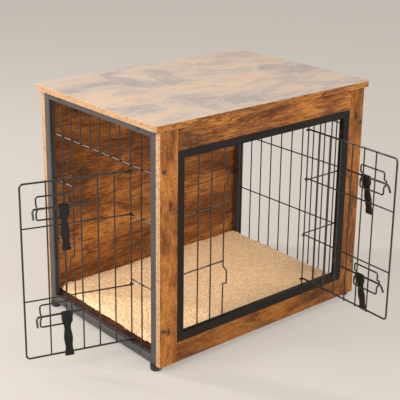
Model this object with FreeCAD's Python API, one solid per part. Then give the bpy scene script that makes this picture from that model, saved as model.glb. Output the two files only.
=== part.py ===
import FreeCAD, Part
import math
import os

Vector = FreeCAD.Vector
UP = Vector(0, 0, 1)

# ---------------------------------------------------------------------------
# Driving dimensions, millimetres. +X runs along the long front, +Y into the
# depth and +Z up from the floor. The crate is drawn about the middle of its own
# body; crate_centre then puts the origin in the middle of the floor space that
# it takes up with both doors open.
# ---------------------------------------------------------------------------
top_length = 692.0
top_depth = 494.0
overall_height = 600.0
top_thickness = 15.0
top_corner_radius = 15.0
top_edge_round = 1.0
end_overhang = 16.0
front_overhang = 8.0

board_thickness = 15.0
stile_width = 50.0
top_rail_width = 53.0
bottom_rail_width = 50.0
dowel_diameter = 8.0
dowel_length = 40.0
dowel_spread = 26.0
dowel_clearance = 0.05

foot_height = 15.0
foot_diameter = 28.0
foot_round = 4.5
foot_plug_length = 22.0
foot_plug_clearance = 0.2

tube_face = 20.0
tube_depth = 16.0
tube_wall = 1.2
tube_round = 1.8

wire_diameter = 3.5
border_diameter = 4.5
weld_sink = 0.3
side_end_gap = 3.0
side_pitches_in_door = 6
side_wires_beside_door = 2
side_band_height = 476.5
side_middle_height = 356.0
side_lower_height = 194.0

front_hinge_margin = 119.5
front_latch_margin = 126.0
front_latch_side_pitch = 39.5
front_hinge_side_pitch = 42.3
front_wires_beside_door = 2
front_upper_height = 370.5
front_lower_height = 227.0

hinge_clearance = 0.35
eye_wrap_degrees = 215.0
door_corner_radius = 9.0

side_door_overlap = 15.1
side_door_bottom = 41.5
side_door_top = 464.5
side_door_edge_space = 59.3
side_door_wire_count = 5
side_door_bars = (360.0, 184.0)
side_door_open = 73.0
side_bolt_heights = (404.0, 143.0)

front_door_overlap = 10.5
front_door_bottom = 102.0
front_door_top = 502.0
front_door_edge_space = 60.0
front_door_wire_count = 6
front_door_bars = (374.5, 223.0)
front_door_open = 87.0
front_bolt_heights = (433.0, 182.0)

keeper_reach = 12.8
keeper_below_bolt = 12.0
keeper_above_bolt = 32.0
keeper_ramp = 6.5
keeper_bend = 3.0

bolt_diameter = 5.0
bolt_clearance = 0.08
bolt_seat_gap = 0.3
bolt_behind = 85.0
bolt_ahead = 46.5
hook_drop = 23.5
hook_bend = 7.0
hook_lean = 24.0
loop_wire_diameter = 4.0
loop_length = 74.0
loop_height = 55.0
loop_corner = 5.0
loop_from_edge = 72.0
loop_eye_half = 4.5
loop_eye_ramp = 5.0
loop_eye_bend = 2.4

grip_lean = 12.0
grip_offset = 23.2
grip_length = 100.0
grip_sleeve_radius = 4.8
grip_block_depth = 15.0
grip_block_taper = 5.0
grip_top_width = 22.5
grip_neck_width = 15.5
grip_bulge_width = 20.5
grip_waist_width = 16.5
grip_foot_width = 21.5
grip_neck_share = 0.32
grip_bulge_share = 0.58
grip_waist_share = 0.80
grip_thickness = 5.5
grip_edge_round = 1.4
grip_foot_round = 3.0

floor_thickness = 9.0
floor_top = 42.0
floor_side_gap = 1.0
floor_end_gap = 0.5

mat_side_gap = 4.0
mat_end_gap = 3.0
mat_thickness = 13.0
mat_corner_radius = 14.0
mat_edge_round = 5.0

bolt_inset = 10.0
bolt_low = 107.0
bolt_high = 492.0
machine_diameter = 6.0
machine_head_diameter = 10.5
machine_head_height = 2.6
machine_socket = 4.0
machine_socket_depth = 1.7
machine_reach = 12.0
machine_clearance = 0.2
nut_diameter = 9.0
nut_length = 9.0

bracket_offset = 160.0
bracket_width = 30.0
bracket_leg = 25.0
bracket_sheet = 2.0
frame_screw_diameter = 5.0
frame_screw_head = 8.5
frame_screw_head_height = 2.0
wood_screw_diameter = 4.0
wood_screw_head = 7.5
wood_screw_head_height = 1.8
wood_screw_grip = 7.5
wood_screw_inset = 15.0
inlay_screw_low = 55.0

# ---------------------------------------------------------------------------
# Sizes worked out from the driving ones
# ---------------------------------------------------------------------------
body_length = top_length - 2 * end_overhang
body_depth = top_depth - 2 * front_overhang
body_top = overall_height - top_thickness
body_bottom = foot_height
front_face = -body_depth / 2
back_face = body_depth / 2
board_back = front_face + board_thickness
panel_front = back_face - board_thickness
side_face = body_length / 2
window_half = side_face - stile_width
window_bottom = body_bottom + bottom_rail_width
window_top = body_top - top_rail_width
tube_half_depth = tube_depth / 2
side_half = panel_front
side_inner = side_half - tube_face
front_inner = window_half - tube_face
wire_radius = wire_diameter / 2
border_radius = border_diameter / 2
bolt_radius = bolt_diameter / 2
loop_radius = loop_wire_diameter / 2

# The wire doors: their openings follow the frames, and the doors lap over their openings.
side_pitch = (side_inner - side_end_gap) / (side_pitches_in_door / 2 + side_wires_beside_door)
side_door_width = side_pitch * side_pitches_in_door + side_door_overlap
side_door_pitch = (side_door_width - side_door_edge_space) / side_door_wire_count
front_hinge_offset = front_inner - front_hinge_margin
front_opening = front_inner + front_hinge_offset - front_latch_margin
front_door_width = front_opening + front_door_overlap
front_door_pitch = (front_door_width - front_door_edge_space) / front_door_wire_count

mat_length = 2 * (side_face - tube_depth - mat_side_gap)
mat_depth = 2 * (panel_front - mat_end_gap)

# Furthest reach of the open doors, and the middle of the whole floor space.
left_reach = side_face - tube_half_depth + side_door_width * math.sin(math.radians(side_door_open))
front_reach = body_depth / 2 - tube_half_depth + front_door_width * math.sin(math.radians(front_door_open))
crate_centre = Vector((left_reach - top_length / 2) / 2, (front_reach - top_depth / 2) / 2, 0)

# Distances outward from the plane of the standing mesh wires.
mesh_bar_plane = -(wire_diameter - weld_sink)
eye_radius = wire_radius + hinge_clearance
border_plane = eye_radius + border_radius
bar_plane = eye_radius + wire_radius
door_wire_plane = eye_radius - wire_radius + weld_sink
loop_plane = door_wire_plane + wire_radius + loop_radius
bolt_plane = door_wire_plane + wire_radius + hinge_clearance + grip_sleeve_radius
loop_eye_plane = bolt_plane + bolt_radius + bolt_seat_gap + loop_radius


# ---------------------------------------------------------------------------
# Shape helpers
# ---------------------------------------------------------------------------
def block(x_range, y_range, z_range):
    """Plain box between two values on each axis."""
    corner = Vector(x_range[0], y_range[0], z_range[0])
    size = (x_range[1] - x_range[0], y_range[1] - y_range[0], z_range[1] - z_range[0])
    return Part.makeBox(*size, corner)


def rounded_outline(width, depth, radius):
    """Rectangle with round corners in the XY plane, centred on the origin."""
    half_w = width / 2
    half_d = depth / 2
    flat_w = half_w - radius
    flat_d = half_d - radius
    edges = []
    corners = ((flat_w, flat_d, 0), (-flat_w, flat_d, 90), (-flat_w, -flat_d, 180), (flat_w, -flat_d, 270))
    for index, (cx, cy, start) in enumerate(corners):
        centre = Vector(cx, cy, 0)
        arc = Part.makeCircle(radius, centre, UP, start, start + 90)
        edges.append(arc)
        next_x, next_y, next_start = corners[(index + 1) % 4]
        turn = math.radians(next_start)
        joined = Vector(next_x + radius * math.cos(turn), next_y + radius * math.sin(turn), 0)
        edges.append(Part.LineSegment(arc.Vertexes[-1].Point, joined).toShape())
    return Part.Wire(edges)


def rounded_slab(width, depth, height, radius):
    """Slab with round plan corners, standing on z = 0."""
    return Part.Face(rounded_outline(width, depth, radius)).extrude(UP * height)


def rod(start, end, radius):
    """Round bar from one point to another."""
    span = end - start
    return Part.makeCylinder(radius, span.Length, start, span)


def bent_path(points, bend):
    """Straight runs joined by tangent arcs at the inner points."""
    edges = []
    last = points[0]
    for before, corner, after in zip(points, points[1:], points[2:]):
        inward = (before - corner).normalize()
        outward = (after - corner).normalize()
        half_angle = inward.getAngle(outward) / 2
        setback = bend / math.tan(half_angle)
        arc_start = corner + inward * setback
        arc_end = corner + outward * setback
        bisector = (inward + outward).normalize()
        middle = corner + bisector * (bend / math.sin(half_angle) - bend)
        edges.append(Part.LineSegment(last, arc_start).toShape())
        edges.append(Part.Arc(arc_start, middle, arc_end).toShape())
        last = arc_end
    edges.append(Part.LineSegment(last, points[-1]).toShape())
    return Part.Wire(edges)


def swept(path, radius):
    """Round wire along a path."""
    first = path.Edges[0]
    start = first.valueAt(first.FirstParameter)
    tangent = first.tangentAt(first.FirstParameter)
    profile = Part.Wire([Part.makeCircle(radius, start, tangent)])
    return path.makePipeShell([profile], True, False)


def joined(shapes):
    """One solid from shapes that overlap or touch."""
    whole = shapes[0].multiFuse(shapes[1:])
    if whole.ShapeType == "Compound" and len(whole.Solids) == 1:
        whole = whole.Solids[0]
    return whole


def group(shapes):
    """Separate identical solids that share one node."""
    return Part.makeCompound(shapes)


def turned(shape, degrees, origin):
    """Turn about the upright axis, then move to the origin given."""
    result = shape.copy()
    spin = FreeCAD.Placement(origin, FreeCAD.Rotation(UP, degrees))
    result.Placement = spin.multiply(result.Placement)
    return result


# Each wall has its own frame: s runs along the wall, n points out of the crate
# and z is up. The standing wires of its mesh lie in the plane n = 0.
def on_left(shape):
    return turned(shape, 90, Vector(-side_face + tube_half_depth, 0, 0))


def on_right(shape):
    return turned(shape, -90, Vector(side_face - tube_half_depth, 0, 0))


def on_front(shape):
    return turned(shape, 180, Vector(0, front_face + tube_half_depth, 0))


# ---------------------------------------------------------------------------
# Boards
# ---------------------------------------------------------------------------
def table_top():
    slab = rounded_slab(top_length, top_depth, top_thickness, top_corner_radius)
    rims = [edge for edge in slab.Edges if edge.BoundBox.ZLength < 0.001]
    slab = slab.makeFillet(top_edge_round, rims)
    slab.translate(UP * body_top)
    return slab.cut(group(top_screw_shanks()))


def dowel_places():
    """Centres of the dowels, two in each joint between a rail and a stile."""
    middle_y = front_face + board_thickness / 2
    places = []
    for side in (-1, 1):
        for middle_z in (body_bottom + bottom_rail_width / 2, body_top - top_rail_width / 2):
            for step in (-0.5, 0.5):
                places.append(Vector(side * window_half, middle_y, middle_z + step * dowel_spread))
    return places


def dowel_bars(radius):
    reach = Vector(dowel_length / 2, 0, 0)
    return [rod(place - reach, place + reach, radius) for place in dowel_places()]


def front_board(x_range, z_range):
    board = block(x_range, (front_face, board_back), z_range)
    board = board.cut(group(dowel_bars(dowel_diameter / 2 + dowel_clearance)))
    return board.cut(group(machine_bolt_holes(front_face, 1)))


def front_stile(side):
    x_range = sorted((side * window_half, side * side_face))
    return front_board(x_range, (body_bottom, body_top)).cut(group(inlay_screw_shanks()))


def back_panel():
    panel = block((-side_face, side_face), (panel_front, back_face), (body_bottom, body_top))
    return panel.cut(group(machine_bolt_holes(back_face, -1)))


def floor_board():
    half_length = side_face - tube_depth - floor_side_gap
    half_depth = panel_front - floor_end_gap
    z_range = (floor_top - floor_thickness, floor_top)
    board = block((-half_length, half_length), (-half_depth, half_depth), z_range)
    return board.cut(group(floor_screw_shanks()))


# ---------------------------------------------------------------------------
# Steel tubes
# ---------------------------------------------------------------------------
def tube(length):
    """Rectangular tube along +Z with its wide face across s, centred on s = n = 0."""
    outside = rounded_slab(tube_face, tube_depth, length, tube_round)
    inside_width = tube_face - 2 * tube_wall
    inside_depth = tube_depth - 2 * tube_wall
    inside = rounded_slab(inside_width, inside_depth, length, tube_round - tube_wall)
    return outside.cut(inside)


def upright(s_middle, z_bottom, z_top):
    post = tube(z_top - z_bottom)
    post.translate(Vector(s_middle, 0, z_bottom))
    return post


def lying(s_start, s_end, z_middle):
    bar = tube(s_end - s_start)
    bar.rotate(Vector(0, 0, 0), Vector(0, 1, 0), 90)
    bar.translate(Vector(s_start, 0, z_middle))
    return bar


def side_post(end):
    """Post of an end frame; end is +1 or -1 along s."""
    post = upright(end * (side_half - tube_face / 2), body_bottom, body_top)
    return post.cut(group(nut_holes(end)))


def side_rail(z_middle):
    rail = lying(-side_inner, side_inner, z_middle)
    return rail.cut(group(frame_screw_bars(z_middle, frame_screw_diameter / 2 + machine_clearance)))


def mitred(bar, low_corner, high_corner):
    """Keep the part of a bar that lies between two mitre planes of the inlay frame."""
    return bar.common(wedge(low_corner, high_corner))


def wedge(first, second):
    """Prism over one side of the inlay frame, ending in its 45 degree mitres."""
    outer_a, inner_a = first
    outer_b, inner_b = second
    outline = Part.makePolygon([outer_a, outer_b, inner_b, inner_a, outer_a])
    slab = Part.Face(outline).extrude(Vector(0, tube_depth, 0))
    slab.translate(Vector(0, -tube_half_depth, 0))
    return slab


def inlay_corner(s_side, z_side):
    """Outer and inner corner points of the inlay frame in the plane n = 0."""
    z_outer = window_top if z_side > 0 else window_bottom
    outer = Vector(s_side * window_half, 0, z_outer)
    inner = Vector(s_side * front_inner, 0, z_outer - z_side * tube_face)
    return outer, inner


def inlay_post(side):
    post = upright(side * (window_half - tube_face / 2), window_bottom, window_top)
    post = mitred(post, inlay_corner(side, -1), inlay_corner(side, 1))
    return post.cut(group(inlay_screw_bars(side, wood_screw_diameter / 2 + machine_clearance)))


def inlay_rail(z_side):
    z_outer = window_top if z_side > 0 else window_bottom
    rail = lying(-window_half, window_half, z_outer - z_side * tube_face / 2)
    return mitred(rail, inlay_corner(-1, z_side), inlay_corner(1, z_side))


# ---------------------------------------------------------------------------
# Welded wire mesh
# ---------------------------------------------------------------------------
def standing_wire(s, z_bottom, z_top):
    return rod(Vector(s, 0, z_bottom), Vector(s, 0, z_top), wire_radius)


def cross_wire(s_start, s_end, z):
    return rod(Vector(s_start, mesh_bar_plane, z), Vector(s_end, mesh_bar_plane, z), wire_radius)


def keeper_wire(s, z_bottom, z_top, bolt_heights):
    """Latch wire that steps outward beside each bolt, so that the bolt passes behind it."""
    points = [Vector(s, 0, z_bottom)]
    for height in sorted(bolt_heights):
        low = height - keeper_below_bolt
        high = height + keeper_above_bolt
        points.append(Vector(s, 0, low))
        points.append(Vector(s, keeper_reach, low + keeper_ramp))
        points.append(Vector(s, keeper_reach, high - keeper_ramp))
        points.append(Vector(s, 0, high))
    points.append(Vector(s, 0, z_top))
    return swept(bent_path(points, keeper_bend), wire_radius)


def side_opening():
    """Half width of the doorway in the end mesh, between its two bounding wires."""
    return side_pitch * side_pitches_in_door / 2


def side_z_range():
    return body_bottom + tube_face, body_top - tube_face


def side_hinge_strip():
    """Wires between the hinge wire and the front post of the door end."""
    low, high = side_z_range()
    edge = -side_opening()
    wires = [standing_wire(edge - side_pitch * step, low, high) for step in range(side_wires_beside_door + 1)]
    wires.append(cross_wire(-side_inner, edge + wire_radius, side_band_height))
    for height in (side_middle_height, side_lower_height):
        wires.append(cross_wire(-side_inner, edge, height))
    return joined(wires)


def side_latch_strip():
    """Wires between the latch wire and the back post of the door end."""
    low, high = side_z_range()
    edge = side_opening()
    wires = [keeper_wire(edge, low, high, side_bolt_heights)]
    for step in range(1, side_wires_beside_door + 1):
        wires.append(standing_wire(edge + side_pitch * step, low, high))
    wires.append(cross_wire(edge - wire_radius, side_inner, side_band_height))
    for height in (side_middle_height, side_lower_height):
        wires.append(cross_wire(edge, side_inner, height))
    return joined(wires)


def side_top_band():
    """Cross wire above the doorway with the short wires that rise from it to the top rail."""
    high = side_z_range()[1]
    reach = side_opening() - wire_radius
    wires = [cross_wire(-reach, reach, side_band_height)]
    for step in range(1, side_pitches_in_door):
        s = -side_opening() + side_pitch * step
        wires.append(standing_wire(s, side_band_height - wire_radius, high))
    return joined(wires)


def fixed_mesh():
    """Full mesh of the end without a door."""
    low, high = side_z_range()
    reach = side_pitches_in_door // 2 + side_wires_beside_door
    wires = [standing_wire(side_pitch * step, low, high) for step in range(-reach, reach + 1)]
    for height in (side_band_height, side_middle_height, side_lower_height):
        wires.append(cross_wire(-side_inner, side_inner, height))
    return joined(wires)


def front_z_range():
    return window_bottom + tube_face, window_top - tube_face


def front_hinge_strip():
    low, high = front_z_range()
    edge = -front_hinge_offset
    wires = []
    for step in range(front_wires_beside_door + 1):
        wires.append(standing_wire(edge - front_hinge_side_pitch * step, low, high))
    for height in (front_upper_height, front_lower_height):
        wires.append(cross_wire(-front_inner, edge, height))
    return joined(wires)


def front_latch_strip():
    low, high = front_z_range()
    edge = front_opening - front_hinge_offset
    wires = [keeper_wire(edge, low, high, front_bolt_heights)]
    for step in range(1, front_wires_beside_door + 1):
        wires.append(standing_wire(edge + front_latch_side_pitch * step, low, high))
    for height in (front_upper_height, front_lower_height):
        wires.append(cross_wire(edge, front_inner, height))
    return joined(wires)


# ---------------------------------------------------------------------------
# Doors. Each is built closed, with its hinge wire as the axis s = n = 0, and
# then swung open about that axis.
# ---------------------------------------------------------------------------
def hinge_eye(z, radius):
    """Open eye at the end of a door wire, curled round the hinge wire."""
    curl = eye_radius + radius
    centre = Vector(0, 0, z)
    arc = Part.makeCircle(curl, centre, UP, 90, 90 + eye_wrap_degrees)
    return swept(Part.Wire([arc]), radius)


def door_border(width, bottom, top):
    """Heavy wire down the free edge, turned along the top and bottom to the hinge eyes."""
    points = [
        Vector(0, border_plane, top),
        Vector(width, border_plane, top),
        Vector(width, border_plane, bottom),
        Vector(0, border_plane, bottom),
    ]
    return swept(bent_path(points, door_corner_radius), border_radius)


def wire_door(width, bottom, top, pitch, count, bars):
    parts = [door_border(width, bottom, top)]
    for z in (bottom, top):
        parts.append(hinge_eye(z, border_radius))
    for z in bars:
        parts.append(rod(Vector(0, bar_plane, z), Vector(width, bar_plane, z), wire_radius))
        parts.append(hinge_eye(z, wire_radius))
    for step in range(1, count + 1):
        foot = Vector(pitch * step, door_wire_plane, bottom - border_radius)
        head = Vector(pitch * step, door_wire_plane, top + border_radius)
        parts.append(rod(foot, head, wire_radius))
    return joined(parts)


def side_door():
    return wire_door(side_door_width, side_door_bottom, side_door_top, side_door_pitch,
                     side_door_wire_count, side_door_bars)


def front_door():
    return wire_door(front_door_width, front_door_bottom, front_door_top, front_door_pitch,
                     front_door_wire_count, front_door_bars)


def swung_side(shape):
    return on_left(turned(shape, side_door_open, Vector(-side_opening(), 0, 0)))


def swung_front(shape):
    return on_front(turned(shape, front_door_open, Vector(-front_hinge_offset, 0, 0)))


# ---------------------------------------------------------------------------
# Slide-bolt latches. Their middle is the middle of the wire loop on the door.
# ---------------------------------------------------------------------------
def latch_loop(s_middle, z):
    """Wire loop welded over the door wires; its ends step out into eyes for the bolt."""
    half_s = loop_length / 2
    half_z = loop_height / 2
    eye_start = loop_eye_half + loop_eye_ramp

    def end_points(side, way):
        s = s_middle + side * half_s
        return [
            Vector(s, loop_plane, z + way * eye_start),
            Vector(s, loop_eye_plane, z + way * loop_eye_half),
            Vector(s, loop_eye_plane, z - way * loop_eye_half),
            Vector(s, loop_plane, z - way * eye_start),
        ]

    def corner(side, way):
        return Vector(s_middle + side * half_s, loop_plane, z + way * half_z)

    middle_top = Vector(s_middle, loop_plane, z + half_z)
    middle_bottom = Vector(s_middle, loop_plane, z - half_z)
    halves = []
    for side, way in ((1, 1), (-1, -1)):
        start = middle_top if way > 0 else middle_bottom
        end = middle_bottom if way > 0 else middle_top
        steps = loop_half_path(start, corner(side, way), end_points(side, way), corner(side, -way), end)
        halves.append(swept(steps, loop_radius))
    return joined(halves)


def loop_half_path(start, first_corner, eye, second_corner, end):
    """Half of the loop: corners with the large bend, eye with the small one."""
    before_eye = (first_corner + eye[0]) * 0.5
    after_eye = (eye[-1] + second_corner) * 0.5
    runs = [
        bent_path([start, first_corner, before_eye], loop_corner),
        bent_path([before_eye] + eye + [after_eye], loop_eye_bend),
        bent_path([after_eye, second_corner, end], loop_corner),
    ]
    return Part.Wire([edge for run in runs for edge in run.Edges])


def bolt_rod(s_middle, z):
    """Straight part of the sliding bolt, up to where the hook bends away."""
    start = Vector(s_middle - bolt_behind, bolt_plane, z)
    end = Vector(s_middle + bolt_ahead - hook_bend, bolt_plane, z)
    return rod(start, end, bolt_radius)


def leaning(shape, s_middle, z, lean):
    """Swing a hanging shape outward about the bolt by the lean at which it rests."""
    result = shape.copy()
    result.rotate(Vector(s_middle, bolt_plane, z), Vector(1, 0, 0), lean)
    return result


def bolt_hook(s_middle, z):
    """Bent end of the bolt, hanging from its corner."""
    start = Vector(s_middle + bolt_ahead - hook_bend, bolt_plane, z)
    corner = Vector(s_middle + bolt_ahead, bolt_plane, z)
    tip = Vector(s_middle + bolt_ahead, bolt_plane, z - hook_drop)
    arc_middle_turn = math.radians(45)
    arc_middle = Vector(start.x + hook_bend * math.sin(arc_middle_turn), bolt_plane,
                        z - hook_bend + hook_bend * math.cos(arc_middle_turn))
    arc_end = Vector(corner.x, bolt_plane, z - hook_bend)
    path = Part.Wire([
        Part.Arc(start, arc_middle, arc_end).toShape(),
        Part.LineSegment(arc_end, tip).toShape(),
    ])
    return leaning(swept(path, bolt_radius), s_middle, z, hook_lean)


def grip_outline():
    """Paddle outline in the s-z plane: shoulder, neck, bulge, waist and flared foot."""
    stations = (
        (grip_block_depth, grip_top_width),
        (grip_neck_share * grip_length, grip_neck_width),
        (grip_bulge_share * grip_length, grip_bulge_width),
        (grip_waist_share * grip_length, grip_waist_width),
        (grip_length, grip_foot_width),
    )
    right = [Vector(width / 2, 0, -depth) for depth, width in stations]
    left = [Vector(-point.x, 0, point.z) for point in reversed(right)]
    top_right = Vector(grip_top_width / 2, 0, 0)
    top_left = Vector(-grip_top_width / 2, 0, 0)
    edges = [Part.LineSegment(top_right, right[0]).toShape()]
    for points, way in ((right, UP * -1), (left, UP)):
        curve = Part.BSplineCurve()
        curve.interpolate(Points=points, InitialTangent=way, FinalTangent=way)
        edges.append(curve.toShape())
    edges.insert(2, Part.LineSegment(right[-1], left[0]).toShape())
    edges.append(Part.LineSegment(left[-1], top_left).toShape())
    edges.append(Part.LineSegment(top_left, top_right).toShape())
    return Part.Wire(edges)


def grip_paddle():
    """Flat paddle with rounded rims and foot corners, hanging from s = z = 0."""
    paddle = Part.Face(grip_outline()).extrude(Vector(0, grip_thickness, 0))
    paddle.translate(Vector(0, -grip_thickness / 2, 0))
    corners = [edge for edge in paddle.Edges
               if edge.BoundBox.YLength > 1 and edge.BoundBox.ZMax < 1 - grip_length]
    paddle = paddle.makeFillet(grip_foot_round, corners)
    rims = [edge for edge in paddle.Edges
            if edge.BoundBox.YLength < 0.01 and edge.BoundBox.ZMin < -1]
    return paddle.makeFillet(grip_edge_round, rims)


def grip_block():
    """Thick head round the bolt, tapering into the paddle below."""
    sleeve = grip_sleeve_radius
    half = grip_thickness / 2
    shoulder = -grip_block_depth
    toe = shoulder - grip_block_taper
    start = Vector(0, sleeve, 0)
    crown = Part.Arc(start, Vector(0, 0, sleeve), Vector(0, -sleeve, 0)).toShape()
    corners = [Vector(0, -sleeve, 0), Vector(0, -sleeve, shoulder), Vector(0, -half, toe),
               Vector(0, half, toe), Vector(0, sleeve, shoulder), start]
    profile = Part.Wire([crown] + Part.makePolygon(corners).Edges)
    block = Part.Face(profile).extrude(Vector(grip_top_width, 0, 0))
    block.translate(Vector(-grip_top_width / 2, 0, 0))
    return block


def grip(s_middle, z):
    """Moulded grip: a thick head round the bolt with a paddle hanging from it."""
    reach = Vector(grip_top_width, 0, 0)
    body = grip_paddle().fuse(grip_block())
    body = body.cut(rod(reach * -1, reach, bolt_radius + bolt_clearance))
    body.translate(Vector(s_middle - grip_offset, bolt_plane, z))
    return leaning(body, s_middle, z, grip_lean)


# ---------------------------------------------------------------------------
# Feet, brackets and fasteners
# ---------------------------------------------------------------------------
def foot(side_x, side_y):
    """Moulded glide with a plug that is pushed into the open end of a post."""
    radius = foot_diameter / 2
    pad = Part.makeCylinder(radius, foot_height)
    sole = [edge for edge in pad.Edges if edge.BoundBox.ZMax < 0.01]
    pad = pad.makeFillet(foot_round, sole)
    plug_s = tube_face - 2 * tube_wall - 2 * foot_plug_clearance
    plug_n = tube_depth - 2 * tube_wall - 2 * foot_plug_clearance
    plug = rounded_slab(plug_n, plug_s, foot_plug_length, tube_round - tube_wall)
    plug.translate(UP * foot_height)
    shape = pad.fuse(plug)
    shape.translate(Vector(side_x * (side_face - tube_half_depth), side_y * (side_half - tube_face / 2), 0))
    return shape


def machine_bolt_places(face_y):
    return [Vector(side * (side_face - bolt_inset), face_y, z)
            for side in (-1, 1) for z in (bolt_low, bolt_high)]


def machine_bolt(place, inward):
    """Button-head bolt with a hexagon socket, driven along Y from the face of a board."""
    way = Vector(0, inward, 0)
    shank_end = place + way * (board_thickness + machine_reach)
    shank = rod(place, shank_end, machine_diameter / 2)
    head = Part.makeCylinder(machine_head_diameter / 2, machine_head_height, place, way * -1)
    crown = [edge for edge in head.Edges
             if abs(edge.BoundBox.Center.y - (place.y - inward * machine_head_height)) < 0.01
             and edge.BoundBox.YLength < 0.01]
    head = head.makeFillet(machine_head_height * 0.7, crown)
    socket_radius = machine_socket / math.sqrt(3)
    corners = [Vector(socket_radius * math.cos(math.radians(60 * turn)), 0,
                      socket_radius * math.sin(math.radians(60 * turn))) for turn in range(7)]
    socket = Part.Face(Part.makePolygon(corners)).extrude(way * machine_socket_depth)
    socket.translate(place - way * machine_head_height)
    return head.fuse(shank).cut(socket)


def machine_bolts(face_y, inward):
    return group([machine_bolt(place, inward) for place in machine_bolt_places(face_y)])


def machine_bolt_holes(face_y, inward):
    way = Vector(0, inward, 0)
    radius = machine_diameter / 2 + machine_clearance
    return [rod(place, place + way * board_thickness, radius) for place in machine_bolt_places(face_y)]


def nut_sleeves(outer, inner, length, end):
    """Sleeves in the face of a post that meets the board, in the frame of an end wall."""
    sleeves = []
    n = side_face - bolt_inset - (side_face - tube_half_depth)
    way = Vector(-end, 0, 0)
    for z in (bolt_low, bolt_high):
        start = Vector(end * side_half, n, z)
        sleeve = Part.makeCylinder(outer, length, start, way)
        if inner > 0:
            sleeve = sleeve.cut(Part.makeCylinder(inner, length, start, way))
        sleeves.append(sleeve)
    return sleeves


def nut_holes(end):
    return nut_sleeves(nut_diameter / 2, 0, tube_round, end)


def rivet_nuts():
    """Threaded inserts in the four posts that the machine bolts pull on."""
    inner = machine_diameter / 2 + dowel_clearance
    nuts = []
    for end in (-1, 1):
        sleeves = nut_sleeves(nut_diameter / 2, inner, nut_length, end)
        nuts += [on_left(sleeve) for sleeve in sleeves]
        nuts += [on_right(sleeve) for sleeve in sleeves]
    return group(nuts)


def frame_screw_bars(z, radius):
    """Lines of the two screws across a rail of an end frame."""
    bars = []
    for s in (-bracket_offset, bracket_offset):
        bars.append(rod(Vector(s, -tube_half_depth, z), Vector(s, tube_half_depth, z), radius))
    return bars


def side_rail_heights():
    return body_bottom + tube_face / 2, body_top - tube_face / 2


def frame_screw(s, z):
    """Pan-head screw from the outer face of a rail through the bracket behind it."""
    head_start = Vector(s, tube_half_depth, z)
    head = Part.makeCylinder(frame_screw_head / 2, frame_screw_head_height, head_start, Vector(0, 1, 0))
    crown = [edge for edge in head.Edges if edge.BoundBox.YMin > tube_half_depth + 0.01
             and edge.BoundBox.YLength < 0.01]
    head = head.makeFillet(frame_screw_head_height * 0.6, crown)
    tip = Vector(s, -tube_half_depth - 2 * bracket_sheet, z)
    return head.fuse(rod(head_start, tip, frame_screw_diameter / 2))


def frame_screws():
    return group([frame_screw(s, z) for z in side_rail_heights() for s in (-bracket_offset, bracket_offset)])


def angle_bracket(s, shelf_top, reach_z):
    """Pressed angle behind a rail: upright leg on the tube, level leg under the board."""
    z_low = min(shelf_top - bracket_sheet, reach_z)
    z_high = max(shelf_top, reach_z)
    wall = -tube_half_depth
    half = bracket_width / 2
    leg = block((s - half, s + half), (wall - bracket_sheet, wall), (z_low, z_high))
    shelf = block((s - half, s + half), (wall - bracket_leg, wall), (shelf_top - bracket_sheet, shelf_top))
    angle = joined([leg, shelf]).removeSplitter()
    screw_z = side_rail_heights()[0] if shelf_top < body_top else side_rail_heights()[1]
    angle = angle.cut(rod(Vector(s, wall + 1, screw_z), Vector(s, wall - bracket_leg, screw_z),
                          frame_screw_diameter / 2 + dowel_clearance))
    drill = rod(Vector(s, wall - wood_screw_inset, shelf_top - bracket_leg),
                Vector(s, wall - wood_screw_inset, shelf_top + 1), wood_screw_diameter / 2 + dowel_clearance)
    return angle.cut(drill)


def brackets(shelf_top, reach_z):
    """The four angles at one level, two on each end frame."""
    pieces = []
    for s in (-bracket_offset, bracket_offset):
        angle = angle_bracket(s, shelf_top, reach_z)
        pieces += [on_left(angle), on_right(angle)]
    return group(pieces)


def floor_brackets():
    return brackets(floor_top - floor_thickness, body_bottom + 2)


def top_brackets():
    return brackets(body_top, body_top - tube_face)


def bracket_screw_places(z):
    inset = side_face - tube_depth - wood_screw_inset
    return [Vector(x, y, z) for x in (-inset, inset) for y in (-bracket_offset, bracket_offset)]


def rising_screws(seat_z, grip_depth):
    """Wood screws driven upward; seat_z is the underside of the sheet that they clamp."""
    screws = []
    for place in bracket_screw_places(seat_z):
        head = Part.makeCylinder(wood_screw_head / 2, wood_screw_head_height, place, UP * -1)
        shank = rod(place, place + UP * (bracket_sheet + grip_depth), wood_screw_diameter / 2)
        screws.append(head.fuse(shank))
    return screws


def rising_shanks(seat_z, grip_depth):
    radius = wood_screw_diameter / 2 + dowel_clearance
    depth = bracket_sheet + grip_depth + dowel_clearance
    return [rod(place, place + UP * depth, radius) for place in bracket_screw_places(seat_z)]


def top_screw_shanks():
    return rising_shanks(body_top - bracket_sheet, wood_screw_grip)


def floor_screw_shanks():
    return rising_shanks(floor_top - floor_thickness - bracket_sheet, wood_screw_grip)


def inlay_screw_places():
    low = window_bottom + inlay_screw_low
    high = window_top - inlay_screw_low
    return [(side, z) for side in (-1, 1) for z in (low, high)]


def inlay_screw_bars(side, radius):
    """Lines of the screws through an inlay post, in the frame of the front wall."""
    bars = []
    for place_side, z in inlay_screw_places():
        if place_side == side:
            bars.append(rod(Vector(side * front_inner, 0, z), Vector(side * window_half, 0, z), radius))
    return bars


def inlay_screw_shanks():
    radius = wood_screw_diameter / 2 + dowel_clearance
    shanks = []
    for side, z in inlay_screw_places():
        start = Vector(side * window_half, 0, z)
        end = Vector(side * (window_half + wood_screw_grip), 0, z)
        shanks.append(on_front(rod(start, end, radius)))
    return shanks


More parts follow.
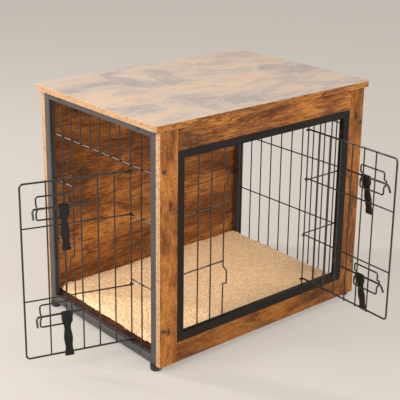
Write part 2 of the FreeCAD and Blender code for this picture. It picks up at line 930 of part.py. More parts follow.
def inlay_screws():
    """Screws from inside the window through the inlay posts into the stiles."""
    screws = []
    for side, z in inlay_screw_places():
        seat = Vector(side * front_inner, 0, z)
        head = Part.makeCylinder(wood_screw_head / 2, wood_screw_head_height, seat, Vector(-side, 0, 0))
        tip = Vector(side * (window_half + wood_screw_grip), 0, z)
        screws.append(on_front(head.fuse(rod(seat, tip, wood_screw_diameter / 2))))
    return group(screws)


# ---------------------------------------------------------------------------
# Mat
# ---------------------------------------------------------------------------
def floor_mat():
    """Soft mat that fills the floor board."""
    mat = rounded_slab(mat_length, mat_depth, mat_thickness, mat_corner_radius)
    rims = [edge for edge in mat.Edges if edge.BoundBox.ZMin > mat_thickness - 0.01]
    mat = mat.makeFillet(mat_edge_round, rims)
    mat.translate(UP * floor_top)
    return mat


# ---------------------------------------------------------------------------
# Nodes
# ---------------------------------------------------------------------------
def latch_nodes(name, width, z, swing):
    middle = width - loop_from_edge
    return {
        name + "_latch_loop": swing(latch_loop(middle, z)),
        name + "_bolt_rod": swing(bolt_rod(middle, z)),
        name + "_bolt_hook": swing(bolt_hook(middle, z)),
        name + "_grip": swing(grip(middle, z)),
    }


def all_nodes():
    rail_low, rail_high = side_rail_heights()
    nodes = {
        "table_top": table_top(),
        "front_stile_left": front_stile(-1),
        "front_stile_right": front_stile(1),
        "front_rail_top": front_board((-window_half, window_half), (window_top, body_top)),
        "front_rail_bottom": front_board((-window_half, window_half), (body_bottom, window_bottom)),
        "rail_dowels": group(dowel_bars(dowel_diameter / 2)),
        "back_panel": back_panel(),
        "floor_board": floor_board(),
        "floor_mat": floor_mat(),
        "inlay_post_left": on_front(inlay_post(1)),
        "inlay_post_right": on_front(inlay_post(-1)),
        "inlay_rail_top": on_front(inlay_rail(1)),
        "inlay_rail_bottom": on_front(inlay_rail(-1)),
        "front_mesh_hinge_side": on_front(front_hinge_strip()),
        "front_mesh_latch_side": on_front(front_latch_strip()),
        "left_mesh_hinge_side": on_left(side_hinge_strip()),
        "left_mesh_latch_side": on_left(side_latch_strip()),
        "left_mesh_top_band": on_left(side_top_band()),
        "right_mesh": on_right(fixed_mesh()),
        "left_door": swung_side(side_door()),
        "front_door": swung_front(front_door()),
        "front_bolts": machine_bolts(front_face, 1),
        "back_bolts": machine_bolts(back_face, -1),
        "rivet_nuts": rivet_nuts(),
        "left_frame_screws": on_left(frame_screws()),
        "right_frame_screws": on_right(frame_screws()),
        "floor_brackets": floor_brackets(),
        "top_brackets": top_brackets(),
        "floor_screws": group(rising_screws(floor_top - floor_thickness - bracket_sheet, wood_screw_grip)),
        "top_screws": group(rising_screws(body_top - bracket_sheet, wood_screw_grip)),
        "inlay_screws": inlay_screws(),
    }
    for wall, placed, back_end in (("left", on_left, 1), ("right", on_right, -1)):
        nodes[wall + "_back_post"] = placed(side_post(back_end))
        nodes[wall + "_front_post"] = placed(side_post(-back_end))
        nodes[wall + "_top_rail"] = placed(side_rail(rail_high))
        nodes[wall + "_bottom_rail"] = placed(side_rail(rail_low))
    for end_name, side_x in (("left", -1), ("right", 1)):
        for depth_name, side_y in (("front", -1), ("back", 1)):
            nodes["foot_" + depth_name + "_" + end_name] = foot(side_x, side_y)
    for level, z in zip(("upper", "lower"), side_bolt_heights):
        nodes.update(latch_nodes("left_" + level, side_door_width, z, swung_side))
    for level, z in zip(("upper", "lower"), front_bolt_heights):
        nodes.update(latch_nodes("front_" + level, front_door_width, z, swung_front))
    return nodes


def main():
    os.makedirs("parts", exist_ok=True)
    for name, shape in all_nodes().items():
        if not shape.isValid():
            raise ValueError(name + " is not a valid shape")
        shape.translate(crate_centre)
        shape.exportStep(os.path.join("parts", name + ".step"))


main()
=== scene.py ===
import math

import bmesh
import bpy
from mathutils import Matrix, Vector, noise


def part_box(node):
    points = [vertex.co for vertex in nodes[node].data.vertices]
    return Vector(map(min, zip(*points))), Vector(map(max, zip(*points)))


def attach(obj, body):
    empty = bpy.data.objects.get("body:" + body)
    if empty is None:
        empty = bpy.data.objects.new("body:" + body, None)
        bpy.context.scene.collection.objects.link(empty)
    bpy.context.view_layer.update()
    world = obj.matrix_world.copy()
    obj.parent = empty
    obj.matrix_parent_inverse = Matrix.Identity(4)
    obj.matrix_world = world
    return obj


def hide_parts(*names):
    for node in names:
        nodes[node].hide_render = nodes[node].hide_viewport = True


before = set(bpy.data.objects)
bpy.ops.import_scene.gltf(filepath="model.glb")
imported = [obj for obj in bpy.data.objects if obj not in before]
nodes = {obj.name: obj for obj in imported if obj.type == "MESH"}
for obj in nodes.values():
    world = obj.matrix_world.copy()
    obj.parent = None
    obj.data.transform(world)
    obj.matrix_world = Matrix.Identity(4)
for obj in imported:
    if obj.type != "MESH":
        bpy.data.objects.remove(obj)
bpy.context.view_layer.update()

# ---------------------------------------------------------------------------
# Places, all in metres
# ---------------------------------------------------------------------------
top_low, top_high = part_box("table_top")
crate_centre = Vector(((top_low[0] + top_high[0]) / 2, (top_low[1] + top_high[1]) / 2, 0))
mat_low, mat_high = (Vector(corner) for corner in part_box("floor_mat"))

# Camera, measured from the middle of the crate's footprint on the floor. Yaw turns its line of
# sight from +y towards +x, and pitch tips it down; both are in radians, as roll is.
picture_px = 400
camera_offset = Vector((-1.5911, -1.8474, 1.1892))
camera_yaw = 0.7070
camera_pitch = 0.3075
camera_roll = 0.0127
focal_px = 998.3
shift_up = -0.12
sensor = 36.0  # millimetres


# ---------------------------------------------------------------------------
# Node helpers
# ---------------------------------------------------------------------------
class Shader:
    """A material's node tree with short calls to add and link nodes."""

    def __init__(self, name):
        self.material = bpy.data.materials.new(name)
        self.material.use_nodes = True
        self.tree = self.material.node_tree
        self.tree.nodes.clear()
        self.output = self.add("ShaderNodeOutputMaterial")

    def add(self, kind, **values):
        """A new node with its own properties set."""
        node = self.tree.nodes.new(kind)
        for key, value in values.items():
            setattr(node, key, value)
        return node

    def link(self, source, target):
        self.tree.links.new(source, target)

    def feed(self, socket, value):
        """Link a socket, or set a plain value on it."""
        if isinstance(value, bpy.types.NodeSocket):
            self.link(value, socket)
        else:
            socket.default_value = value

    def place(self, scale=(1, 1, 1), offset=(0, 0, 0)):
        """Object coordinates, scaled and then moved."""
        coords = self.add("ShaderNodeTexCoord")
        mapping = self.add("ShaderNodeMapping")
        mapping.inputs["Scale"].default_value = scale
        mapping.inputs["Location"].default_value = offset
        self.link(coords.outputs["Object"], mapping.inputs["Vector"])
        return mapping.outputs["Vector"]

    def facing(self, axis):
        """How squarely the surface faces along one axis, either way, from 0 to 1."""
        coords = self.add("ShaderNodeTexCoord")
        parts = self.add("ShaderNodeSeparateXYZ")
        self.link(coords.outputs["Normal"], parts.inputs["Vector"])
        return self.maths("ABSOLUTE", parts.outputs[axis])

    def noise(self, vector, scale, detail=4, roughness=0.5, distortion=0.0):
        node = self.add("ShaderNodeTexNoise")
        node.inputs["Scale"].default_value = scale
        node.inputs["Detail"].default_value = detail
        node.inputs["Roughness"].default_value = roughness
        node.inputs["Distortion"].default_value = distortion
        self.link(vector, node.inputs["Vector"])
        return node.outputs["Fac"]

    def ramp(self, value, stops):
        """Colour that runs through (position, colour) stops."""
        node = self.add("ShaderNodeValToRGB")
        elements = node.color_ramp.elements
        while len(elements) < len(stops):
            elements.new(0.5)
        for element, (position, colour) in zip(elements, stops):
            element.position = position
            element.color = (*colour, 1)
        self.feed(node.inputs["Fac"], value)
        return node.outputs["Color"]

    def fade(self, value, low, high, start=0.0, end=1.0):
        """Map low..high onto start..end, clamped."""
        node = self.add("ShaderNodeMapRange")
        node.inputs["From Min"].default_value = low
        node.inputs["From Max"].default_value = high
        node.inputs["To Min"].default_value = start
        node.inputs["To Max"].default_value = end
        self.feed(node.inputs["Value"], value)
        return node.outputs["Result"]

    def maths(self, operation, first, second=0.0):
        node = self.add("ShaderNodeMath", operation=operation)
        self.feed(node.inputs[0], first)
        self.feed(node.inputs[1], second)
        return node.outputs["Value"]

    def blend(self, *shares):
        """Weighted sum of (value, weight) pairs."""
        total = 0.0
        for value, weight in shares:
            total = self.maths("ADD", self.maths("MULTIPLY", value, weight), total)
        return total

    def mix(self, factor, first, second):
        node = self.add("ShaderNodeMix", data_type="RGBA", blend_type="MIX")
        self.feed(node.inputs["Factor"], factor)
        self.feed(node.inputs["A"], colour_of(first))
        self.feed(node.inputs["B"], colour_of(second))
        return node.outputs["Result"]

    def bump(self, height, strength, distance):
        node = self.add("ShaderNodeBump")
        node.inputs["Strength"].default_value = strength
        node.inputs["Distance"].default_value = distance
        self.link(height, node.inputs["Height"])
        return node.outputs["Normal"]

    def principled(self, **values):
        """The principled shader; names use underscores for the spaces."""
        node = self.add("ShaderNodeBsdfPrincipled")
        for key, value in values.items():
            self.feed(node.inputs[key.replace("_", " ")], value)
        return node.outputs["BSDF"]

    def surface(self, **values):
        """The material, with the principled shader as its surface."""
        self.link(self.principled(**values), self.output.inputs["Surface"])
        return self.material


def colour_of(value):
    """A colour socket's value: a plain colour gets its alpha, and a link stays as it is."""
    if isinstance(value, tuple) and len(value) == 3:
        return (*value, 1)
    return value


def shaded(colour, share):
    """The same colour, lighter or darker."""
    return tuple(share * part for part in colour)


def dress(material, *names):
    """Give CAD nodes a material."""
    for name in names:
        mesh = nodes[name].data
        mesh.materials.clear()
        mesh.materials.append(material)


# ---------------------------------------------------------------------------
# Wood
# ---------------------------------------------------------------------------
# Noise is squeezed across the grain, so that it runs along the board.
along_x = (1.0, 8.0, 8.0)
along_z = (8.0, 8.0, 1.0)

# Cut ends of the particle board: their pale cream is partly painted light from the left, over the
# board's own reddish specks.
lit_cut_edge = (0.55, 0.345, 0.180)
cut_speck = (0.24, 0.100, 0.050)

# Dark, middle and light browns of the printed faces, the same browns darker as painted shade on
# the bottom rail and the right stile, and the browns of the floor board in its shade.
board_tones = ((0.075, 0.022, 0.006), (0.29, 0.092, 0.018), (0.58, 0.225, 0.046))
shaded_board_tones = ((0.052, 0.016, 0.004), (0.20, 0.060, 0.010), (0.42, 0.155, 0.028))
shadow_tones = ((0.020, 0.006, 0.003), (0.055, 0.016, 0.006), (0.12, 0.036, 0.012))
stain_tone = (0.115, 0.046, 0.014)

# The upper face of the top, painted with the glare of the room's light on it: from its grey parts
# to its peach ones, with greyer patches and ring lines.
glare_tones = (
    (0.42, 0.365, 0.335), (0.54, 0.455, 0.395), (0.62, 0.49, 0.395), (0.70, 0.50, 0.35),
)
grey_patch_tone = (0.37, 0.33, 0.31)
faint_line_tone = (0.34, 0.22, 0.15)
beech_tones = ((0.50, 0.33, 0.18), (0.70, 0.52, 0.31))

# A plain board's depth of ring lines and mottle, and how often its drifting patches come.
line_depth = 0.8
mottle_depth = 0.35
patch_rate = 3.4

# Phase of the ring lines, in radians: what the broad flow gives, and how far fine noise bends it.
ring_rate = 125.0
ring_wobble = 12.0

# Cells to the metre of the printed mottle and of the grit at the cut ends.
mottle_rate = 150.0
grit_rate = 230.0
board_gloss = 0.22


def board_figure(shader, grain, offset, line_share, patch_scale):
    """Fields of a printed board: drifting patches and stains, ring lines, fibres and a mottle."""
    def stretched(factor):
        return shader.place(tuple(factor * value for value in grain), offset)

    broad = shader.place(tuple(math.sqrt(value) for value in grain), offset)
    fields = {
        "patch": shader.noise(broad, patch_scale, 5, 0.60, 0.9),
        "stain": shader.noise(broad, 1.5 * patch_scale, 6, 0.62, 0.6),
        "flow": shader.noise(stretched(1.0), 1.5, 3, 0.50, 0.5),
        "fibre": shader.noise(stretched(6.0), 5.0, 5, 0.62, 0.6),
        "mottle": shader.noise(shader.place((1, 1, 2.2), offset), mottle_rate, 4, 0.62, 1.0),
    }
    wobble = shader.noise(stretched(4.0), 3.6, 5, 0.65, 0.5)
    phase = shader.blend((fields["flow"], ring_rate), (wobble, ring_wobble))
    ring = shader.maths("SINE", phase)
    breaks = shader.noise(stretched(2.4), 2.3, 4, 0.6, 0.8)
    shown = shader.fade(breaks, 0.40, 0.56, 0.25, 1.0)
    line = shader.fade(ring, 0.25, 0.85, 0.0, line_share)
    fields["line"] = shader.maths("MULTIPLY", line, shown)
    return fields


def knot_mask(shader, centre, radii):
    """Soft dark spot about a place on a board; radii are half sizes along x, y and z."""
    scale = tuple(1 / radius for radius in radii)
    offset = tuple(-part / radius for part, radius in zip(centre, radii))
    length = shader.add("ShaderNodeVectorMath", operation="LENGTH")
    shader.link(shader.place(scale, offset), length.inputs[0])
    ragged = shader.noise(shader.place(), 110.0, 4, 0.6, 0.8)
    reach = shader.blend((length.outputs["Value"], 1.0), (ragged, 0.9))
    return shader.fade(reach, 1.05, 1.55, 0.85, 0.0)


def printed_face(shader, grain, offset, tones=board_tones, line_share=line_depth,
                 mottle_share=mottle_depth, knots=(), patch_scale=patch_rate):
    """Colour, relief and fields of the printed face of a rustic board."""
    dark, middle, light = tones
    fields = board_figure(shader, grain, offset, line_share, patch_scale)
    tone = shader.blend((fields["patch"], 0.75), (fields["flow"], 0.25))
    colour = shader.ramp(tone, [(0.38, dark), (0.465, middle), (0.57, light)])
    colour = shader.mix(shader.fade(fields["stain"], 0.52, 0.66, 0.0, 0.60), colour, stain_tone)
    fibre_share = 1.0 - 0.7 * mottle_share  # a strong mottle leaves less of the fibres
    dark_fibre = shader.fade(fields["fibre"], 0.50, 0.62, 0.0, 0.80 * fibre_share)
    pale_fibre = shader.fade(fields["fibre"], 0.48, 0.40, 0.0, 0.45 * fibre_share)
    colour = shader.mix(dark_fibre, colour, shaded(middle, 0.42))
    colour = shader.mix(pale_fibre, colour, light)
    colour = shader.mix(fields["line"], colour, shaded(dark, 0.75))
    dark_speck = shader.fade(fields["mottle"], 0.50, 0.62, 0.0, mottle_share)
    pale_speck = shader.fade(fields["mottle"], 0.48, 0.40, 0.0, 0.6 * mottle_share)
    colour = shader.mix(dark_speck, colour, shaded(middle, 0.35))
    colour = shader.mix(pale_speck, colour, light)
    for centre, radii in knots:
        colour = shader.mix(knot_mask(shader, centre, radii), colour, shaded(dark, 0.7))
    relief = shader.blend((fields["fibre"], 0.8), (fields["line"], -0.6), (fields["mottle"], 0.4))
    return colour, relief, fields


def with_cut_ends(shader, colour, offset):
    """Board with reddish specks on the faces square to x; its pale cream is partly painted light
    from the left.
    """
    grit = shader.noise(shader.place(offset=offset), grit_rate, 4, 0.72)
    pale_end = shader.mix(shader.fade(grit, 0.51, 0.60, 0.0, 0.90), lit_cut_edge, cut_speck)
    return shader.mix(shader.fade(shader.facing("X"), 0.60, 0.72), colour, pale_end)


def rustic_board(name, grain, offset, cut=True, **looks):
    """Rustic board with printed faces and, unless it is banded all round, cut ends whose pale
    cream is partly painted light.
    """
    shader = Shader(name)
    colour, relief, fields = printed_face(shader, grain, offset, **looks)
    return shader.surface(
        Base_Color=with_cut_ends(shader, colour, offset) if cut else colour,
        Roughness=shader.fade(fields["fibre"], 0.3, 0.7, 0.46, 0.60),
        Specular_IOR_Level=board_gloss,
        Normal=shader.bump(relief, 0.20, 0.0006),
    )


def top_with_painted_glare(name, offset):
    """The top board: brown at the rim, its upper face painted grey beige and peach as the glare of
    the room's light on it.
    """
    shader = Shader(name)
    rim, relief, fields = printed_face(shader, along_x, offset)
    drift = shader.noise(shader.place((2.6, 4.2, 4.2), offset), 1.9, 8, 0.70, 0.6)
    streak = shader.noise(shader.place((12.0, 60.0, 60.0), offset), 1.5, 5, 0.70, 0.5)
    glare_field = shader.blend((drift, 0.80), (streak, 0.20))
    face = shader.ramp(glare_field, list(zip((0.41, 0.47, 0.525, 0.60), glare_tones)))
    grey_patch = shader.noise(shader.place((7.0, 11.0, 11.0), offset), 1.3, 8, 0.72, 0.8)
    face = shader.mix(shader.fade(grey_patch, 0.52, 0.66, 0.0, 0.50), face, grey_patch_tone)
    face = shader.mix(shader.maths("MULTIPLY", fields["line"], 0.22), face, faint_line_tone)
    # Faces that look up get the painted glare; the rim keeps the board's printed browns.
    level = shader.fade(shader.facing("Z"), 0.45, 0.75)
    colour = shader.mix(level, with_cut_ends(shader, rim, offset), face)
    return shader.surface(
        Base_Color=colour,
        Roughness=shader.fade(fields["fibre"], 0.3, 0.7, 0.54, 0.66),
        Specular_IOR_Level=board_gloss,
        Normal=shader.bump(relief, 0.14, 0.0005),
    )


def pale_dowel(name):
    """Turned beech with its fine grain along x."""
    shader = Shader(name)
    grain = shader.noise(shader.place((2, 60, 60)), 3.0, 6, 0.6, 0.6)
    colour = shader.ramp(grain, list(zip((0.35, 0.65), beech_tones)))
    return shader.surface(Base_Color=colour, Roughness=0.6, Normal=shader.bump(grain, 0.1, 0.0004))


# ---------------------------------------------------------------------------
# Steel, plastic and pile
# ---------------------------------------------------------------------------
# The end frames' black is a lighter copy of the deep black coat: painted light from the left on
# the end frames.
lit_end_black = (0.048, 0.046, 0.048)
deep_black = (0.006, 0.005, 0.004)
bolt_grey = (0.085, 0.08, 0.075)
grip_black = (0.006, 0.006, 0.006)
foot_black = (0.018, 0.018, 0.018)
dull_gloss = 0.22
wire_gloss = 0.8

# Peel of a powder coat and spark-eroded grain of a mould; rates are in cells to the metre.
peel_rate = 900.0
spark_rate = 1500.0

# Loop tips, their sides and the hollows between them, the hollows darkened with painted shade,
# with drifts of a deeper beige.
pile_tip_and_shade_tones = ((1.00, 0.77, 0.48), (1.00, 0.69, 0.39), (0.88, 0.50, 0.22))
pile_drift_tone = (0.93, 0.62, 0.34)
pile_sheen_tone = (1.0, 0.80, 0.58)
loop_rate = 330.0
tuft_rate = 260.0
fibre_rate = 800.0


def coated_steel(name, colour, rough, peel=0.10, **values):
    """Powder coat: a fine orange-peel skin with slightly uneven gloss and dust."""
    shader = Shader(name)
    place = shader.place()
    skin = shader.noise(place, peel_rate, 2, 0.5)
    drift = shader.noise(place, 22.0, 4, 0.55)
    tint = shader.mix(shader.fade(drift, 0.35, 0.7), colour, shaded(colour, 1.35))
    return shader.surface(
        Base_Color=tint,
        Roughness=shader.fade(drift, 0.3, 0.7, rough, rough + 0.08),
        Normal=shader.bump(skin, peel, 0.0003),
        **values,
    )


def moulded_plastic(name, colour, rough, **values):
    """Black moulded plastic with a spark-eroded texture."""
    shader = Shader(name)
    place = shader.place()
    spark = shader.noise(place, spark_rate, 3, 0.6)
    drift = shader.noise(place, 40.0, 3, 0.5)
    tint = shader.mix(shader.fade(drift, 0.35, 0.7), colour, shaded(colour, 1.6))
    return shader.surface(
        Base_Color=tint,
        Roughness=shader.fade(drift, 0.3, 0.7, rough, rough + 0.12),
        Normal=shader.bump(spark, 0.12, 0.0003),
        **values,
    )


def plush_pile(name):
    """Curly pile: pale loop tips over hollows darkened with painted shade, with a soft sheen."""
    shader = Shader(name)
    place = shader.place()
    loops = shader.add("ShaderNodeTexVoronoi", feature="SMOOTH_F1")
    loops.inputs["Scale"].default_value = loop_rate
    loops.inputs["Smoothness"].default_value = 0.5
    shader.link(place, loops.inputs["Vector"])
    tufts = shader.noise(place, tuft_rate, 5, 0.65, 0.8)
    drift = shader.noise(place, 11.0, 4, 0.5)
    depth = shader.blend((loops.outputs["Distance"], 0.8), (tufts, 1.0))
    # Deeper into the loops the colour turns darker: painted shade in the hollows.
    colour = shader.ramp(depth, list(zip((0.74, 0.96, 1.00), pile_tip_and_shade_tones)))
    colour = shader.mix(shader.fade(drift, 0.45, 0.65, 0.0, 0.20), colour, pile_drift_tone)
    fibres = shader.blend((shader.noise(place, fibre_rate, 4, 0.7), 1.0), (tufts, 2.0))
    return shader.surface(
        Base_Color=colour,
        Roughness=0.95,
        Sheen_Weight=0.30,
        Sheen_Tint=colour_of(pile_sheen_tone),
        Sheen_Roughness=0.5,
        Normal=shader.bump(fibres, 0.30, 0.0012),
    )


# ---------------------------------------------------------------------------
# What each node wears
# ---------------------------------------------------------------------------
knot_depth = 0.02


def knot(across, up, half_width, half_height):
    """A knot on a front board: across from the crate's middle, up from the floor, and its size."""
    return (crate_centre.x + across, top_low[1], up), (half_width, knot_depth, half_height)


left_stile_knots = (knot(-0.300, 0.408, 0.006, 0.016), knot(-0.306, 0.100, 0.009, 0.012))
right_stile_knots = (knot(0.304, 0.512, 0.007, 0.014), knot(0.300, 0.270, 0.008, 0.018))

# Node: material, grain, where its figure is cut from, and how it differs from the plain board.
boards = {
    "front_rail_top": ("board_rail_top", along_x, (0.7, 1.3, 2.1), {
        "line_share": 0.85, "mottle_share": 0.25, "patch_scale": 4.5}),
    # The bottom rail and the right stile take the darker browns, as painted shade.
    "front_rail_bottom": ("board_rail_bottom", along_x, (3.7, 0.3, 1.4), {
        "tones": shaded_board_tones, "line_share": 0.30, "mottle_share": 0.45, "patch_scale": 5.5}),
    "front_stile_left": ("board_stile_left", along_z, (1.1, 0.4, 5.2), {
        "line_share": 0.10, "mottle_share": 0.55, "knots": left_stile_knots, "patch_scale": 7.0}),
    "front_stile_right": ("board_stile_right", along_z, (6.3, 2.4, 0.9), {
        "tones": shaded_board_tones, "line_share": 0.10, "mottle_share": 0.55,
        "knots": right_stile_knots, "patch_scale": 7.0}),
    "back_panel": ("board_back", along_x, (2.2, 7.1, 4.0), {"line_share": 0.75}),
    "floor_board": ("board_floor", along_x, (5.2, 1.7, 3.0), {
        "tones": shadow_tones, "line_share": 0.5, "mottle_share": 0.40, "cut": False}),
}
dress(top_with_painted_glare("board_top", (0.0, 0.3, 0.0)), "table_top")
for node, (name, grain, offset, looks) in boards.items():
    dress(rustic_board(name, grain, offset, **looks), node)
dress(pale_dowel("dowel_beech"), "rail_dowels")

# The end frames and brackets wear the lighter black, with its painted light.
lit_end_coat = coated_steel("lit_end_coat", lit_end_black, 0.40)
inlay_coat = coated_steel("inlay_coat", deep_black, 0.46, Specular_IOR_Level=dull_gloss)
wire_coat = coated_steel("wire_coat", deep_black, 0.14, peel=0.03, Specular_IOR_Level=wire_gloss)
bolt_coat = coated_steel("bolt_coat", bolt_grey, 0.24, peel=0.03, Metallic=0.8)
for name in nodes:
    words = name.split("_")
    if words[0] == "inlay" and words[-1] != "screws":
        dress(inlay_coat, name)
    elif words[0] in ("left", "right") and words[-1] in ("post", "rail"):
        dress(lit_end_coat, name)
    elif "mesh" in words or words[-1] in ("door", "loop", "rod", "hook"):
        dress(wire_coat, name)
    elif words[-1] in ("bolts", "nuts", "screws"):
        dress(bolt_coat, name)
    elif words[-1] == "brackets":
        dress(lit_end_coat, name)
dress(moulded_plastic("grip_plastic", grip_black, 0.42, Specular_IOR_Level=dull_gloss),
      *[name for name in nodes if name.endswith("_grip")])
dress(moulded_plastic("foot_plastic", foot_black, 0.45),
      *[name for name in nodes if name.startswith("foot_")])


# ---------------------------------------------------------------------------
# Plush mat: a filled pad from a cloth simulation, then a curly pile on it
# ---------------------------------------------------------------------------
mat_drop = 0.0060    # the blank is this much thinner than the mat, to leave room for the pile
mat_corner = 0.016
mat_voxel = 0.005
mat_pressure = 4.0
mat_slack = 0.02
mat_frames = 20
mat_cap = 0.0030     # furthest that a point may move as the pad fills
mat_seat = 0.0004    # least height of the underside over the bottom of the mat's space
side_reach = 0.0025  # furthest that the pile stands past the pad's plan size
pile_facing = -0.35  # faces that look further down than this carry no pile

tuft_spacing = 0.0064
tuft_height = 0.0034
tuft_spread = 0.62   # radius of a tuft, as a share of the spacing
clump_spacing = 0.015
clump_height = 0.0022
curl_rate = 260.0
curl_height = 0.0010
swell_rate = 9.0
swell_height = 0.0024


def mat_blank():
    """Closed slab of the mat's plan size, with round corners and thinner than the finished mat."""
    high = mat_high - Vector((0, 0, mat_drop))
    centre = (mat_low + high) / 2
    half = (high - mat_low) / 2
    mesh = bmesh.new()
    bmesh.ops.create_cube(mesh, size=2.0)
    for vertex in mesh.verts:
        vertex.co = centre + Vector(a * b for a, b in zip(vertex.co, half))
    upright = [edge for edge in mesh.edges
               if abs(edge.verts[0].co.z - edge.verts[1].co.z) > half.z]
    bmesh.ops.bevel(mesh, geom=upright, offset=mat_corner, segments=6, affect="EDGES",
                    profile=0.5)
    data = bpy.data.meshes.new("mat_blank")
    mesh.to_mesh(data)
    mesh.free()
    return data


def evaluated(piece):
    """The piece's mesh as its modifiers leave it."""
    depsgraph = bpy.context.evaluated_depsgraph_get()
    return bpy.data.meshes.new_from_object(piece.evaluated_get(depsgraph))


def with_modifier(data, kind, **values):
    """The mesh that one modifier makes of another mesh."""
    piece = bpy.data.objects.new("draft", data)
    bpy.context.collection.objects.link(piece)
    modifier = piece.modifiers.new(kind.lower(), kind)
    for key, value in values.items():
        setattr(modifier, key, value)
    result = evaluated(piece)
    bpy.data.objects.remove(piece)
    return result


def filled(data):
    """Let pressure fill the pad; it lies on the floor board and no point moves far."""
    piece = bpy.data.objects.new("filling", data)
    bpy.context.collection.objects.link(piece)
    start = [vertex.co.copy() for vertex in data.vertices]
    cloth = piece.modifiers.new("cloth", "CLOTH")
    cloth.settings.use_pressure = True
    cloth.settings.uniform_pressure_force = mat_pressure
    cloth.settings.shrink_min = -mat_slack
    cloth.settings.effector_weights.gravity = 0.0
    cloth.point_cache.frame_end = mat_frames
    for step in range(1, mat_frames + 1):
        bpy.context.scene.frame_set(step)
    result = evaluated(piece)
    bpy.context.scene.frame_set(1)
    bpy.data.objects.remove(piece)
    for vertex, origin in zip(result.vertices, start):
        move = vertex.co - origin
        if move.length > mat_cap:
            vertex.co = origin + move * (mat_cap / move.length)
        vertex.co.z = max(vertex.co.z, mat_low.z + mat_seat)
    return result


def pile_lift(place):
    """Height of the curly pile over the pad at a place: round tufts on broad soft swells."""
    nearest = noise.voronoi(place / tuft_spacing)[0][0]
    tuft = math.sqrt(max(0.0, 1.0 - (nearest / tuft_spread) ** 2))
    clump = max(0.0, 1.0 - noise.voronoi(place / clump_spacing)[0][0] ** 2)
    curl = noise.turbulence(place * curl_rate, 3, False)
    swell = noise.noise(place * swell_rate)
    return tuft_height * tuft + clump_height * clump + curl_height * curl + swell_height * swell


def plush_mat():
    """The finished mat; its sides and underside stay in the room that it has."""
    data = with_modifier(mat_blank(), "REMESH", mode="VOXEL", voxel_size=mat_voxel)
    data = filled(data)
    data = with_modifier(data, "SUBSURF", levels=1)
    normals = [vertex.normal.copy() for vertex in data.vertices]
    for vertex, normal in zip(data.vertices, normals):
        if normal.z > pile_facing:
            vertex.co += normal * pile_lift(vertex.co)
        for axis in (0, 1):
            low, high = mat_low[axis] - side_reach, mat_high[axis] + side_reach
            vertex.co[axis] = min(max(vertex.co[axis], low), high)
        vertex.co.z = max(vertex.co.z, mat_low.z + mat_seat)
    for face in data.polygons:
        face.use_smooth = True
    data.materials.append(plush_pile("plush_pile"))
    mat = bpy.data.objects.new("plush_mat", data)
    bpy.context.collection.objects.link(mat)
    return mat


mat = plush_mat()
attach(mat, "frame")
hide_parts("floor_mat")


# ---------------------------------------------------------------------------
# Floor, light and camera
# ---------------------------------------------------------------------------
wall_colour = (0.74, 0.69, 0.635)
floor_tones = ((0.61, 0.56, 0.50), (0.65, 0.60, 0.54))
floor_reach = 12.0
floor_evenness = 0.45  # share of the wall's colour in the floor that the camera sees
sky_colour = (1.0, 0.97, 0.93)
sky_strength = 0.50
aim_height = 0.3

# Name: place from the middle of the crate, width, height, watts and colour.
lamps = {
    "key": ((-1.75, 2.45, 1.5), 0.35, 2.4, 66, (1.0, 0.98, 0.95)),
    "side": ((-2.7, -0.1, 1.55), 1.6, 1.6, 66, (1.0, 0.97, 0.93)),
    "fill": ((0.9, -3.0, 1.1), 2.2, 1.8, 58, (1.0, 0.96, 0.91)),
}


def seen_ray(rays, maths):
    """1 for the rays that show the background: from the camera, off gloss and through glass."""
    shown = maths("MAXIMUM", rays.outputs["Is Camera Ray"], rays.outputs["Is Glossy Ray"])
    return maths("MAXIMUM", shown, rays.outputs["Is Transmission Ray"])


def pale_floor():
    """Large level floor that shows as a pale ground and keeps the crate's shadow."""
    data = bpy.data.meshes.new("floor")
    square = ((-1, -1), (1, -1), (1, 1), (-1, 1))
    corners = [(floor_reach * x, floor_reach * y, 0) for x, y in square]
    data.from_pydata(corners, [], [(0, 1, 2, 3)])
    floor = bpy.data.objects.new("floor", data)
    bpy.context.collection.objects.link(floor)
    shader = Shader("floor_pale")
    drift = shader.noise(shader.place(), 0.8, 2, 0.4)
    colour = shader.mix(drift, *floor_tones)
    ground = shader.principled(Base_Color=colour, Roughness=0.7, Specular_IOR_Level=0.2)
    pale = shader.add("ShaderNodeEmission")
    pale.inputs["Color"].default_value = colour_of(wall_colour)
    seen = seen_ray(shader.add("ShaderNodeLightPath"), shader.maths)
    pick = shader.add("ShaderNodeMixShader")
    shader.link(shader.maths("MULTIPLY", seen, floor_evenness), pick.inputs["Fac"])
    shader.link(ground, pick.inputs[1])
    shader.link(pale.outputs["Emission"], pick.inputs[2])
    shader.link(pick.outputs["Shader"], shader.output.inputs["Surface"])
    data.materials.append(shader.material)
    return floor


def area_light(name, place, target, width, height, power, colour):
    """Rectangular soft light aimed at a point, with its height in the upright plane."""
    light = bpy.data.lights.new(name, "AREA")
    light.shape = "RECTANGLE"
    light.size = width
    light.size_y = height
    light.energy = power
    light.color = colour
    lamp = bpy.data.objects.new(name, light)
    lamp.location = place
    lamp.rotation_euler = (target - place).to_track_quat("-Z", "Y").to_euler()
    bpy.context.collection.objects.link(lamp)


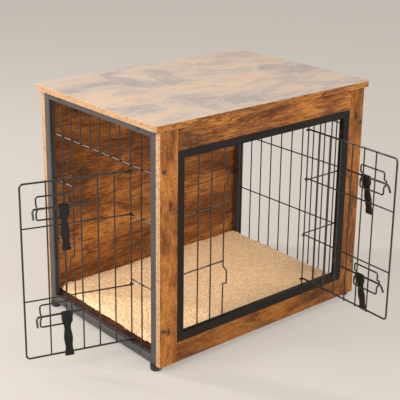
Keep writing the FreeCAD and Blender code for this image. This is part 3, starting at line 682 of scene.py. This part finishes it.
def studio_world():
    """Soft even light, seen as a pale warm wall by the camera and by glossy surfaces."""
    world = bpy.data.worlds.new("studio")
    world.use_nodes = True
    tree = world.node_tree
    tree.nodes.clear()

    def maths(operation, first, second):
        node = tree.nodes.new("ShaderNodeMath")
        node.operation = operation
        tree.links.new(first, node.inputs[0])
        tree.links.new(second, node.inputs[1])
        return node.outputs["Value"]

    seen = seen_ray(tree.nodes.new("ShaderNodeLightPath"), maths)
    light = tree.nodes.new("ShaderNodeBackground")
    light.inputs["Color"].default_value = colour_of(sky_colour)
    light.inputs["Strength"].default_value = sky_strength
    wall = tree.nodes.new("ShaderNodeBackground")
    wall.inputs["Color"].default_value = colour_of(wall_colour)
    wall.inputs["Strength"].default_value = 1.0
    pick = tree.nodes.new("ShaderNodeMixShader")
    tree.links.new(seen, pick.inputs["Fac"])
    tree.links.new(light.outputs["Background"], pick.inputs[1])
    tree.links.new(wall.outputs["Background"], pick.inputs[2])
    output = tree.nodes.new("ShaderNodeOutputWorld")
    tree.links.new(pick.outputs["Shader"], output.inputs["Surface"])
    bpy.context.scene.world = world


def photo_camera():
    """The photograph's camera, with its upright lines eased by a small shift."""
    data = bpy.data.cameras.new("camera")
    data.sensor_width = sensor
    data.lens = focal_px * sensor / picture_px
    data.shift_y = shift_up
    camera = bpy.data.objects.new("camera", data)
    forward = Vector((math.sin(camera_yaw) * math.cos(camera_pitch),
                      math.cos(camera_yaw) * math.cos(camera_pitch),
                      -math.sin(camera_pitch)))
    level_right = Vector((math.cos(camera_yaw), -math.sin(camera_yaw), 0))
    level_up = level_right.cross(forward)
    right = level_right * math.cos(camera_roll) + level_up * math.sin(camera_roll)
    up = level_up * math.cos(camera_roll) - level_right * math.sin(camera_roll)
    turn = Matrix((right, up, -forward)).transposed()
    camera.matrix_world = Matrix.Translation(crate_centre + camera_offset) @ turn.to_4x4()
    bpy.context.collection.objects.link(camera)
    bpy.context.scene.camera = camera


pale_floor()
middle = crate_centre + Vector((0, 0, aim_height))
for name, (place, width, height, power, colour) in lamps.items():
    area_light(name, middle + Vector(place), middle, width, height, power, colour)
studio_world()
photo_camera()

bpy.context.scene.view_settings.view_transform = "Standard"
